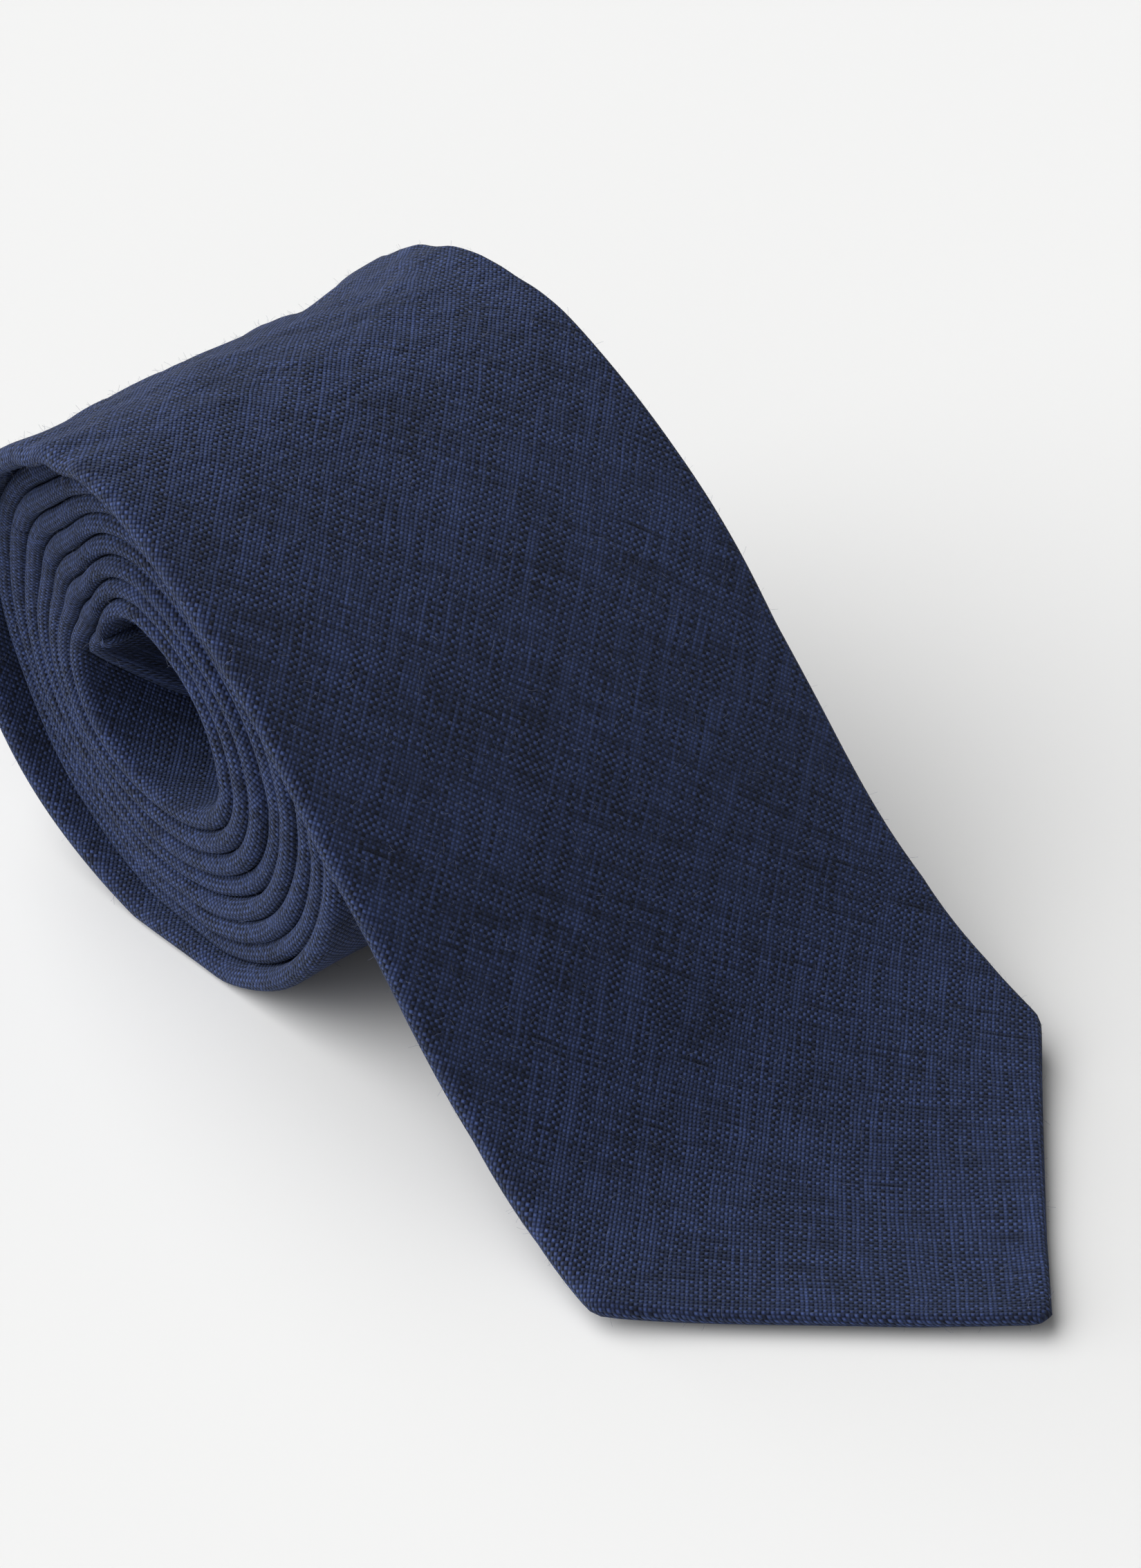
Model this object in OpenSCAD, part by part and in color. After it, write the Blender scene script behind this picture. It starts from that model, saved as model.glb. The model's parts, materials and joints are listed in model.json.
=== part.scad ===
// A necktie rolled up from its tail, with the front blade left free.
// The tie is built flat in section and carried along one path: from the front tip, up the
// arched blade, over the roll and round it turn by turn to the tail tip inside.
// The path lies in the XZ plane; the tie's width is along Y. Millimetres, +Z up.

/* [Tie] */
// Width across the front blade's shoulders
blade_w = 80; // [70:1:90]
// Width of the narrow neck
neck_w = 34; // [28:1:40]
// Width across the tail's shoulders
tail_w = 47; // [40:1:55]
// Width lost on each side for every mm of length behind the front shoulders
blade_taper = 0.0275; // [0.022:0.0005:0.034]
// Width of the blunted point at either tip
point_w = 5; // [3:0.5:6]
// Thickness of the folded tie
tie_t = 2.6; // [2.4:0.05:2.6]
// Thickness of the shell fabric
cloth_t = 0.5; // [0.4:0.05:0.5]
// Thickness of the interlining
lining_t = 1.0; // [0.8:0.05:1]
// Thickness of the tipping
tipping_t = 0.3; // [0.2:0.05:0.3]

/* [Roll] */
// Long half-axis of the oval that every turn is parallel to
oval_a = 28.5; // [26:0.5:30]
// Short half-axis of that oval
oval_b = 23; // [21:0.5:24]
// Forward lean of the oval's long axis
oval_tilt = 35; // [25:1:45]
// Distance from that oval out to the outermost face
outer_offset = 14; // [13:0.5:15]
// Distance from one turn to the next
pitch = 3.1; // [3.1:0.05:3.3]
// Number of turns from the take-off to the tail tip
turns = 8.55; // [7.5:0.05:8.6]
// Depth that the roll's own weight presses flat at the bottom
flat_depth = 1; // [0.5:0.1:1.2]
// Offset in Y of the roll's near face
near_face = -29.5; // [-32:0.5:-28]
// Distance that the turns recede from the near face for every mm of length
recess = 0.002; // [0:0.001:0.004]

/* [Blade] */
// Direction that the roll's face points where the blade leaves it, up from +X
take_off = 64; // [58:1:72]
// Reach from the roll's centre to the front tip
tip_reach = 131; // [125:1:140]
// Length at the tip that lies flat
tip_flat = 22.5; // [15:0.5:30]
// Pull of the arch's curve at both of its ends
arch_pull = 52; // [45:1:58]
// Gap left in the tie along the fold line where the blade lifts
fold_gap = 3; // [2.8:0.1:4]

/* [Trim] */
// Distance from the front tip to the bar tack that starts the back seam
front_tack_s = 100; // [90:1:110]
// Distance from the tail tip to the bar tack that ends the back seam
tail_tack_s = 70; // [60:1:80]
// Length of one slip stitch
stitch_l = 2.6; // [2:0.1:3]
// Distance between slip stitches
stitch_pitch = 12; // [9:0.5:16]
// Width across the tie of either bar tack
tack_w = 8; // [6:0.5:10]
// Width of the keeper loop along the tie
keeper_w = 10; // [8:0.5:12]
// Length of the keeper loop across the tie
keeper_l = 46; // [40:1:50]

/* [Hidden] */

step = 15;            // turn of the path between two sections of the roll
near_step = 4;        // least turn between a section and the end of the path
bottom_step = 8;      // turn from straight down to the sections on either side of it
arch_steps = 16;      // sections along the arch
flat_s = [0, 3, 9, 16]; // sections of the flat tip, by length from the tip
fit = 0.1;            // clearance between layers of one tie
seam_gap = 0.6;       // gap at a piecing seam, filled by its stitching
thread_t = 0.3;       // thickness of sewing thread
flap_gap = 1;         // gap between the two flaps along the back seam
hem = 7;              // turned-in hem along the V of each tip
edge_run = 1;         // run of the folded edge's slope, in from the edge
wall_in = 1.1;        // from the folded edge in to the hollow of the shell
squash_turns = 4;     // turns over which the flattened bottom fades out
inner_end = 3;        // gap from a tip of the tie to the end of what lies inside it
tipping_lap = 12;     // length of tipping that runs on past a bar tack, under the flaps
tack_l = 1.2;         // length of a bar tack along the tie
tack_side = 0.8;      // width of a keeper tack, which stands half as far from the loop's end
join_half = 12;       // half-width of the stitching that joins the interlining's lengths
join_step = 4;        // distance between those stitches
join_w = 2;           // width of one of those stitches
skew_start = 140;     // where the turns start to move over to the near face
skew_run = 110;       // length over which they move
front_seam_a = 870;   // path angle of the seam from the front piece to the neck piece
tail_seam_a = 1590;   // path angle of the seam from the neck piece to the tail piece
lining_join_a = 1200; // path angle where the interlining's two lengths meet
keeper_a = 217.5;     // path angle of the keeper loop's middle, halfway between two sections

face = tie_t / 2;                         // front face, out from the middle of the tie
back = -tie_t / 2;                        // back face
cloth_in = face - cloth_t;                // inner side of the front cloth
lining_top = cloth_in - fit;
lining_low = lining_top - lining_t;
tipping_top = lining_low - fit;
tipping_low = tipping_top - tipping_t;
flap_in = back + cloth_t;                 // inner side of the flaps
mid_offset = outer_offset - face;         // the outermost turn's middle
end_a = take_off + 360 * turns;
squash = 1 - flat_depth / (squash_turns * pitch);
shoulder_s = (blade_w - point_w) / 2;     // a V of 90 degrees

navy = [0.13, 0.16, 0.27];
deep_navy = [0.1, 0.12, 0.2];
canvas = [0.85, 0.83, 0.76];
thread_blue = [0.2, 0.24, 0.38];

// ---- path ----------------------------------------------------------------------------

function smooth(x) = let (c = min(max(x, 0), 1)) c * c * (3 - 2 * c);
function heading(a) = [cos(a), sin(a)];
// Distance from the oval's centre to its tangent line that faces along a
function oval_reach(a) =
    let (b = a + oval_tilt) sqrt(pow(oval_a * cos(b), 2) + pow(oval_b * sin(b), 2));
// Point of the oval where it faces along a
function oval_point(a) =
    let (b = a + oval_tilt, r = oval_reach(a),
         u = oval_a * oval_a * cos(b) / r, v = oval_b * oval_b * sin(b) / r)
    [u * cos(oval_tilt) + v * sin(oval_tilt), v * cos(oval_tilt) - u * sin(oval_tilt)];
function inward(a) = pitch * (a - take_off) / 360;

roll_z = oval_reach(270) + outer_offset - inward(270) - flat_depth;
roll_x = (oval_reach(180) + outer_offset - inward(180) - tip_reach) / 2;
tip_x = roll_x + tip_reach;

function roll_point(a) = [roll_x, roll_z] + oval_point(a) + (mid_offset - inward(a)) * heading(a);

fold = roll_point(take_off);
fold_way = [sin(take_off), -cos(take_off)];
land = [tip_x - tip_flat, face];
arch_a = fold + arch_pull * fold_way;
arch_b = land - [arch_pull, 0];
function arch_point(t) = let (u = 1 - t)
    u * u * u * land + 3 * u * u * t * arch_b + 3 * u * t * t * arch_a + t * t * t * fold;
// Direction of the arch towards the tip
function arch_way(t) = let (u = 1 - t)
    3 * (u * u * (land - arch_b) + 2 * u * t * (arch_b - arch_a) + t * t * (arch_a - fold));
function up_from(v) = [-v[1], v[0]] / norm(v);

// Running length at every point of a list
function running(p, start) =
    [for (i = 0, s = start; i < len(p);
          s = i + 1 < len(p) ? s + norm(p[i + 1] - p[i]) : s, i = i + 1) s];

// A station is [point, facing, length from the front tip, turn that it lies in]
arch_t = [for (i = [0 : arch_steps]) i / arch_steps];
arch_s = running([for (t = arch_t) arch_point(t)], tip_flat);
arch_end = arch_s[arch_steps];
blade_path = concat(
    [for (s = flat_s) [[tip_x - s, face], [0, 1], s, -1]],
    [for (i = [0 : arch_steps - 1])
        [arch_point(arch_t[i]), up_from(arch_way(arch_t[i])), arch_s[i], -1]],
    [[fold + fold_gap / 2 * fold_way, heading(take_off), arch_end - fold_gap / 2, -1]]);

fold_a = take_off + fold_gap / 2 / (oval_reach(take_off) + mid_offset) * 180 / PI;
wound_a = concat([fold_a],
    [for (a = [step * ceil((fold_a + near_step) / step) : step : end_a - near_step])
        each a % 360 == 270 ? [a - bottom_step, a + bottom_step] : [a]], [end_a]);
wound_s = running([for (a = wound_a) roll_point(a)], arch_end + fold_gap / 2);
tie_l = wound_s[len(wound_s) - 1];
s_by_angle = [for (i = [0 : len(wound_a) - 1]) [wound_a[i], wound_s[i]]];
angle_by_s = [for (q = s_by_angle) [q[1], q[0]]];
function turn_of(a) = floor((a - take_off) / 360);
wound_path = [for (i = [0 : len(wound_a) - 1])
    [roll_point(wound_a[i]), heading(wound_a[i]), wound_s[i], turn_of(wound_a[i])]];
// A station at length s on the straight line between two stations of a path
function between(path, s) =
    let (i = max([for (j = [0 : len(path) - 2]) if (path[j][2] <= s) j]),
         a = path[i], b = path[i + 1], w = (s - a[2]) / (b[2] - a[2]))
    [(1 - w) * a[0] + w * b[0], (1 - w) * a[1] + w * b[1], s, a[3]];
function roll_station(a) = between(wound_path, lookup(a, s_by_angle));
function angle_at(s) = lookup(s, angle_by_s);
// Stations of the roll from one path angle to another
function wound(from, to) =
    [for (a = concat([from], [for (b = wound_a) if (b > from + 1 && b < to - 1) b], [to]))
        roll_station(a)];
// Path angle that lies gap mm past angle a
function past(a, gap) = a + gap / (oval_reach(a) + mid_offset - inward(a)) * 180 / PI;
// Stations of the blade from one length to another
function along(from, to) = [for (st = blade_path) if (st[2] >= from && st[2] <= to) st];

// ---- width ---------------------------------------------------------------------------

widen_s = 1060;   // where the tie starts to widen again towards the tail
tail_shoulder_s = tie_l - (tail_w - point_w) / 2;
function uncut_half(s) = s < widen_s
    ? max(neck_w / 2, blade_w / 2 - blade_taper * max(0, s - shoulder_s))
    : neck_w / 2 + (tail_w - neck_w) / 2 * (s - widen_s) / (tail_shoulder_s - widen_s);
function half(s) = min(uncut_half(s), point_w / 2 + s, point_w / 2 + max(0, tie_l - s));
// Middle of the tie's width in Y
function mid_y(s) = smooth((s - skew_start) / skew_run)
    * (near_face + recess * max(0, s - skew_start) + uncut_half(s));
// Inner edge of the flaps, which open into a V towards either tip
function flap_edge(s) =
    let (open_s = min(s, tie_l - s), tack = s < tie_l / 2 ? front_tack_s : tail_tack_s,
         wide = max(0, half(s) - hem))
    max(flap_gap / 2, min(wide, wide * (tack - open_s) / (tack - hem * 2)));

// ---- sweeping ------------------------------------------------------------------------

// Lowest height that a point m out from the tie's middle is pressed to, in turn k
function floor_z(k, m) = k < 0 || k >= squash_turns ? -1 : (pitch * k + face - m) * squash;
function place(st, y, m) =
    let (p = st[0] + m * st[1]) [p[0], mid_y(st[2]) + y, max(p[1], floor_z(st[3], m))];

module sweep(rings, caps) {
    n = len(rings[0]);
    last = (len(rings) - 1) * n;
    polyhedron(
        points = [for (r = rings) each r],
        faces = concat(
            [for (i = [0 : len(rings) - 2], j = [0 : n - 1])
                [i * n + j, (i + 1) * n + j, (i + 1) * n + (j + 1) % n, i * n + (j + 1) % n]],
            caps,
            [for (c = caps) [for (k = [len(c) - 1 : -1 : 0]) last + c[k]]]),
        convexity = 20);
}

// The shell: front cloth, two folded edges and two flaps that meet on the back
function shell_ring(st, trim = 0) =
    let (h = half(st[2]) - trim, f = flap_edge(st[2]), hollow = max(f, h - wall_in),
         low = max(f, h - edge_run), o = face - trim, i = cloth_in)
    [for (q = [[-f, -o], [-low, -o], [-h, 0], [-low, o], [low, o], [h, 0], [low, -o], [f, -o],
               [f, -i], [hollow, -i], [hollow, i], [-hollow, i], [-hollow, -i], [-f, -i]])
        place(st, q[0], q[1])];
shell_caps = [[0, 1, 12, 13], [1, 2, 12], [2, 11, 12], [2, 3, 11], [3, 4, 10, 11],
              [4, 5, 10], [5, 9, 10], [5, 6, 9], [6, 7, 8, 9]];
module shell(stations) sweep([for (st = stations) shell_ring(st)], shell_caps);

// A flat strip inside the shell, between the levels low and top
module strip(stations, low, top, inset)
    sweep([for (st = stations) let (h = max(0.3, half(st[2]) - inset))
           [for (q = [[-h, low], [-h, top], [h, top], [h, low]]) place(st, q[0], q[1])]],
          [[0, 1, 2, 3]]);

// A small sewn bar: across half-widths y0 to y1, between the levels low and top
module bar(st, long, y0, y1, low, top)
    let (way = [st[1][1], -st[1][0]] / norm(st[1]))
    sweep([for (e = [-1, 1])
           let (end = [st[0] - e * long / 2 * way, st[1], st[2], st[3]])
           [for (q = [[y0, low], [y0, top], [y1, top], [y1, low]]) place(end, q[0], q[1])]],
          [[0, 1, 2, 3]]);

module slip_stitch(st)
    bar(st, stitch_l, fit - flap_gap / 2, flap_gap / 2 - fit, back + fit, flap_in - fit);

// Stitching that fills the gap of a piecing seam
module seam(a)
    let (run = seam_gap / 2 - fit)
    sweep([for (side = [-run, run]) shell_ring(roll_station(past(a, side)), fit)], shell_caps);

// ---- pieces of the roll --------------------------------------------------------------

module front_shell_roll() color(navy)
    shell(wound(fold_a, past(front_seam_a, -seam_gap / 2)));
module neck_shell() color(navy)
    shell(wound(past(front_seam_a, seam_gap / 2), past(tail_seam_a, -seam_gap / 2)));
module tail_shell() color(navy)
    shell(wound(past(tail_seam_a, seam_gap / 2), end_a));
module front_interlining_roll() color(canvas)
    strip(wound(fold_a, past(lining_join_a, -seam_gap / 2)), lining_low, lining_top,
          wall_in + 2 * fit);
module tail_interlining() color(canvas)
    strip(wound(past(lining_join_a, seam_gap / 2), past(end_a, -inner_end)), lining_low, lining_top,
          wall_in + 2 * fit);
module interlining_join() color(thread_blue)
    for (y = [-join_half : join_step : join_half])
        bar(roll_station(lining_join_a), seam_gap - 3 * fit, y - join_w / 2, y + join_w / 2,
            lining_low + fit, lining_top - fit);
module tail_tipping() color(deep_navy)
    strip(wound(angle_at(tie_l - tail_tack_s - tipping_lap), past(end_a, -inner_end)),
          tipping_low, tipping_top, wall_in + 2 * fit);
module slip_stitch_roll() color(thread_blue)
    for (s = [arch_end + stitch_pitch : stitch_pitch : tie_l - tail_tack_s - stitch_pitch])
        slip_stitch(roll_station(angle_at(s)));
module tail_bar_tack() color(thread_blue)
    bar(roll_station(angle_at(tie_l - tail_tack_s)), tack_l, -tack_w / 2, tack_w / 2,
        back - fit - thread_t, back - fit);
module front_neck_seam() color(thread_blue) seam(front_seam_a);
module neck_tail_seam() color(thread_blue) seam(tail_seam_a);
module keeper_loop() color(navy)
    let (h = keeper_l / 2, top = back - fit, low = top - thread_t)
    sweep([for (side = [-1, 1])
           let (st = between(wound_path, lookup(keeper_a, s_by_angle) + side * keeper_w / 2))
           [for (q = [[-h, low], [-h, top], [h, top], [h, low]]) place(st, q[0], q[1])]],
          [[0, 1, 2, 3]]);
module keeper_tacks() color(thread_blue)
    for (side = [-1, 1])
        let (y = side * (keeper_l + tack_side * 1.5) / 2)
        bar(roll_station(keeper_a), keeper_w * 0.8, y - tack_side / 2, y + tack_side / 2,
            back - fit - thread_t, back - fit);

// ---- pieces of the free blade --------------------------------------------------------

module front_shell_blade() color(navy) shell(blade_path);
module front_interlining_blade() color(canvas)
    strip(along(inner_end, arch_end), lining_low, lining_top, wall_in + 2 * fit);
module front_tipping() color(deep_navy)
    strip(along(inner_end, front_tack_s + tipping_lap), tipping_low, tipping_top, wall_in + 2 * fit);
module front_bar_tack() color(thread_blue)
    bar(between(blade_path, front_tack_s), tack_l, -tack_w / 2, tack_w / 2,
        back - fit - thread_t, back - fit);
module slip_stitch_blade() color(thread_blue)
    for (s = [front_tack_s + stitch_pitch / 2 : stitch_pitch : arch_end - fold_gap])
        slip_stitch(between(blade_path, s));

front_shell_roll();
neck_shell();
tail_shell();
front_interlining_roll();
tail_interlining();
interlining_join();
tail_tipping();
slip_stitch_roll();
tail_bar_tack();
front_neck_seam();
neck_tail_seam();
keeper_loop();
keeper_tacks();
front_shell_blade();
front_interlining_blade();
front_tipping();
front_bar_tack();
slip_stitch_blade();
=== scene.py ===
# %% [markdown]
# # A navy linen necktie, rolled up from its tail
# The tie is a flat tube of cloth with a soft lining inside. It is rolled from the narrow end,
# and the wide front blade is left free, so that it arches down to the table.
# The model of the mechanics is loaded first. Everything made here sits in the same frame, in metres.

# %% Load the frame
import json
import math

import bpy
import numpy as np
from mathutils import Matrix, Vector


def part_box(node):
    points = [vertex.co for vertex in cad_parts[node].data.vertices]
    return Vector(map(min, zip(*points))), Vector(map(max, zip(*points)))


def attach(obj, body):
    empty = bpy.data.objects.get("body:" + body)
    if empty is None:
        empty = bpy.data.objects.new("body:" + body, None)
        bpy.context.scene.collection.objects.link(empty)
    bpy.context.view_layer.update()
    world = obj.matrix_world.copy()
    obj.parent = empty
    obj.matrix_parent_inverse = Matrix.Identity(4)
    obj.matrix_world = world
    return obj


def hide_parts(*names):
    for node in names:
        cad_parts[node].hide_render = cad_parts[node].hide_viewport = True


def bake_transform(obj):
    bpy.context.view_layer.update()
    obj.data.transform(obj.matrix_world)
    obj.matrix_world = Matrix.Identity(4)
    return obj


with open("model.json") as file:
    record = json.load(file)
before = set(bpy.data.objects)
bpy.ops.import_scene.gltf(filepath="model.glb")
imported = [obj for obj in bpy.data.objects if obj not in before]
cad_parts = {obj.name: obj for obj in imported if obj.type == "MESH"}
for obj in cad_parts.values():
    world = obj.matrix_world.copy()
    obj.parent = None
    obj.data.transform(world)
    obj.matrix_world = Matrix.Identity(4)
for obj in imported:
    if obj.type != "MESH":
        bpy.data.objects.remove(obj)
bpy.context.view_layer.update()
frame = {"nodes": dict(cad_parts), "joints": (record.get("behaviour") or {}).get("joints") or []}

MM = 0.001

# %% [markdown]
# ## The path of the tie
# One line runs through the middle of the cloth, from the front tip, over the arch, onto the roll
# and round it to the tail tip inside. Each turn of the roll is parallel to one leaning oval, so a
# turn is found from the direction that it faces. Lengths here are in millimetres, because a tie
# is cut and folded to the millimetre; they become metres when a mesh is made.

# %% Sizes of the roll and of the blade's arch
TAKE_OFF = 64.0          # direction that the roll faces where the blade leaves it, in degrees
TURNS = 8.55
TURN_PITCH = 3.1         # from one turn to the next
OVAL_LONG, OVAL_SHORT = 28.5, 23.0       # half of the oval's two lengths
OVAL_LEAN = math.radians(35)
OUTER_MIDDLE = 12.7      # from the oval out to the middle of the outermost turn
TIP_FLAT = 22.5          # how much of the blade lies flat on the table
ARCH_PULL = 52.0         # how far each end of the arch keeps its own direction
REST_Z = 1.3             # height of the tie's middle where it lies flat

lift_joint = next(j for j in frame["joints"] if j["name"] == "blade_lift")
fold_point = np.array([lift_joint["pos_m"][0], lift_joint["pos_m"][2]]) / MM
tip_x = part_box("front_shell_blade")[1].x / MM


def facing(angle):
    turn = np.radians(angle)
    return np.stack([np.cos(turn), np.sin(turn)], axis=-1)


def oval(angle):
    """Point of the leaning oval that faces along an angle."""
    b = np.radians(angle) + OVAL_LEAN
    reach = np.hypot(OVAL_LONG * np.cos(b), OVAL_SHORT * np.sin(b))
    u, v = OVAL_LONG**2 * np.cos(b) / reach, OVAL_SHORT**2 * np.sin(b) / reach
    lean_c, lean_s = math.cos(OVAL_LEAN), math.sin(OVAL_LEAN)
    return np.stack([u * lean_c + v * lean_s, v * lean_c - u * lean_s], axis=-1)


def turn_point(angle):
    """Middle of the tie in the roll, from the roll's own centre."""
    out = OUTER_MIDDLE - TURN_PITCH * (angle - TAKE_OFF) / 360
    return oval(angle) + np.asarray(out)[..., None] * facing(angle)


roll_centre = fold_point - turn_point(np.array(TAKE_OFF))
fold_way = np.array([math.sin(math.radians(TAKE_OFF)), -math.cos(math.radians(TAKE_OFF))])
print("roll centre (mm):", roll_centre.round(2), " tip at x =", round(tip_x, 2))

# %% [markdown]
# The arch is one cubic curve that leaves the table level and meets the roll along its own
# direction. The turns follow it point by point, and the summed steps give the length at any place.

# %% The path as one long list of points
land = np.array([tip_x - TIP_FLAT, REST_Z])
b0, b1, b2, b3 = land, land - [ARCH_PULL, 0], fold_point + ARCH_PULL * fold_way, fold_point
t = np.linspace(0, 1, 300)[:, None]
arch = (1 - t)**3 * b0 + 3 * (1 - t)**2 * t * b1 + 3 * (1 - t) * t**2 * b2 + t**3 * b3
arch_way = (1 - t)**2 * (b0 - b1) + 2 * (1 - t) * t * (b1 - b2) + t**2 * (b2 - b3)
arch_face = np.stack([-arch_way[:, 1], arch_way[:, 0]], axis=-1)
arch_face /= np.linalg.norm(arch_face, axis=1)[:, None]

EARLY = 4.0              # the list starts this far before the front tip's own length of 0
roll_angle = np.arange(TAKE_OFF, TAKE_OFF + 360 * TURNS + 4.5, 0.5)
path_point = np.concatenate([[[tip_x + EARLY, REST_Z]], arch, (roll_centre + turn_point(roll_angle))[1:]])
path_face = np.concatenate([[[0, 1]], arch_face, facing(roll_angle)[1:]])
path_angle = np.concatenate([np.full(len(arch) + 1, TAKE_OFF - 1), roll_angle[1:]])
path_step = np.linalg.norm(np.diff(path_point, axis=0), axis=1)
path_s = np.concatenate([[0], np.cumsum(path_step)]) - EARLY
fold_s = path_s[len(arch)]


def length_at(angle):
    """Length from the front tip to where the roll's path faces an angle."""
    return float(np.interp(angle, roll_angle, path_s[len(arch):]))


tie_l = length_at(TAKE_OFF + 360 * TURNS)
print(f"the tie is {tie_l:.0f} mm long; its blade leaves the roll at {fold_s:.0f} mm")

# %% [markdown]
# ## The cut of the tie
# The widths come from how a tie is cut: 80 mm across the front shoulders, tapering to a 34 mm
# neck and widening again to the tail. Both ends are points of 90 degrees, because the cloth is
# cut on the bias and the points follow its yarns.

# %% Widths along the tie
BLADE_HALF, NECK_HALF, TAIL_HALF = 40.0, 17.0, 23.5
SHOULDER_S, TAPER = 37.5, 0.0275         # the front's shoulders, and its taper behind them
WIDEN_S, TAIL_SHOULDER = 1060.0, 21.0    # where the tail starts to widen, and its own shoulders
FREE_S = 120.0           # this much of the blade is clear of the roll
BLADE_SOFT = 0.6         # the free blade is this much narrower on each side
POINT_HALF = 1.0         # half-width of the blunt end of either point
POINT_S = 0.6            # length at which the front point ends
POINT_SLOPE = 1.065      # width gained for each mm behind the point
POINT_BLEND = 0.9        # rounds the corner between a point and a shoulder
LEAST_HALF = 0.6
TACK_S = {"front": 100.0, "tail": 70.0}  # from a tip to the bar tack that ends the back seam
HEM = 7.0
SEAM_CLOSES = 12.0       # the two flaps meet over this length before a bar tack


def ease(x):
    """Runs smoothly from 0 to 1 while x does, and stays at either end."""
    c = np.clip(x, 0, 1)
    return c * c * (3 - 2 * c)


def soft_min(a, b, blend):
    """The smaller of two lengths, with the corner between them rounded."""
    return (a + b - np.sqrt((a - b)**2 + blend**2)) / 2


def uncut_half(s):
    """Half of the tie's width, as if its ends were not cut to points."""
    front = np.maximum(NECK_HALF, BLADE_HALF - TAPER * np.maximum(0, s - SHOULDER_S))
    front = front - BLADE_SOFT * ease((FREE_S - s) / 40)
    widen = (TAIL_HALF - NECK_HALF) * (s - WIDEN_S) / (tie_l - TAIL_SHOULDER - WIDEN_S)
    return np.where(s < WIDEN_S, front, NECK_HALF + widen)


def half_width(s):
    from_point = np.minimum(s, tie_l - s) - POINT_S
    pointed = POINT_HALF + POINT_SLOPE * from_point
    return np.maximum(LEAST_HALF, soft_min(uncut_half(s), pointed, POINT_BLEND))


def to_point(s):
    """Length to the nearer tip, and how far from it the back seam's bar tack sits."""
    return np.minimum(s, tie_l - s), np.where(s < tie_l / 2, TACK_S["front"], TACK_S["tail"])


def flap_gap(s):
    """Half of the V between the two flaps on the back, and how closed the seam is."""
    open_s, tack = to_point(s)
    wide = np.maximum(0, half_width(s) - HEM)
    gap = np.clip(wide * (tack - open_s) / (tack - 2 * HEM), 0, wide)
    return gap, ease((open_s - tack + SEAM_CLOSES) / SEAM_CLOSES)


print("half-widths at 0, 40, 400 mm:", half_width(np.array([0.0, 40.0, 400.0])).round(1))

# %% [markdown]
# ## Where the turns lie
# Nobody rolls a tie perfectly true. Each turn starts a little to one side of the last, so the
# near edges stand in and out of one another, and the cloth ripples slightly. The drift is a
# smooth line through given places; the ripples are smooth noise from a fixed seed.

# %% Smooth noise
NOISE_CELLS = 64


def smooth_noise(seed, *coordinates):
    """Smooth random values of about -1 to 1. Each coordinate is counted in sizes of a ripple."""
    grid = np.random.default_rng(seed).uniform(-1, 1, (NOISE_CELLS,) * len(coordinates))
    cell = [np.floor(c).astype(int) for c in coordinates]
    share = [ease(c - f) for c, f in zip(coordinates, cell)]
    total = 0
    for corner in np.ndindex((2,) * len(coordinates)):
        weight = np.prod([w if k else 1 - w for k, w in zip(corner, share)], axis=0)
        total = total + weight * grid[tuple((f + k) % NOISE_CELLS for k, f in zip(corner, cell))]
    return total


print("ripples repeat after", NOISE_CELLS, "of their own sizes")

# %% [markdown]
# The drift is written as the near edge's place by the direction that the cloth faces, counted on
# from turn to turn: one line for each turn, and the last line for all of the innermost ones. The
# free blade sways from side to side by a millimetre or two, by its length from the tip.

# %% Drift of the near edge, and sway of the blade
DRIFT = {
    64: -36.4, 90: -35.4, 120: -33.0, 150: -30.0, 185: -27.2, 220: -26.2, 250: -26.4, 290: -28.0, 340: -28.6,
    430: -28.6, 490: -27.6, 530: -25.4, 575: -22.9, 610: -23.2, 650: -26.4, 700: -28.0,
    790: -28.8, 840: -28.2, 880: -26.2, 915: -24.4, 940: -23.4, 970: -24.0, 1010: -27.0,
    1150: -28.2, 1230: -26.6, 1270: -24.8, 1300: -24.2, 1340: -25.6, 1400: -27.4,
    1510: -28.2, 1620: -25.6, 1660: -25.0, 1700: -26.0,
    1870: -27.6, 1990: -26.0, 2020: -25.6, 2060: -26.2,
    2230: -27.6, 2375: -26.6, 2590: -27.0, 2735: -27.0, 3142: -27.0,
}
SWAY = {-4: -1.3, 10: -1.1, 24: -0.4, 36: 0.3, 48: 1.8, 62: 2.4, 80: 1.5, 100: 0.4, 125: 0.1, 150: 0}
SMOOTH = 8               # rounds the corners of the drift over about this many millimetres

fine_s = np.arange(-EARLY, path_s[-1], 1.0)
drift_s = np.array([length_at(a) for a in DRIFT])
near_edge = np.interp(fine_s, drift_s, list(DRIFT.values()))
near_edge[fine_s < drift_s[0]] = -uncut_half(fine_s[fine_s < drift_s[0]])
kernel = np.exp(-0.5 * (np.arange(-3 * SMOOTH, 3 * SMOOTH + 1) / SMOOTH)**2)
near_edge = np.convolve(np.pad(near_edge, 3 * SMOOTH, mode="edge"), kernel / kernel.sum(), mode="valid")
centre_line = near_edge + uncut_half(fine_s)
centre_line[fine_s < FREE_S] = 0


def middle_y(s):
    """Middle of the tie's width in Y, with the blade's slight sway from side to side."""
    sway = np.interp(s, list(SWAY), list(SWAY.values()))
    return np.interp(s, fine_s, centre_line) * ease((s - FREE_S) / 30) + sway


print("middle of the tie in Y where the blade leaves the roll:", round(float(middle_y(fold_s)), 2))

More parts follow.
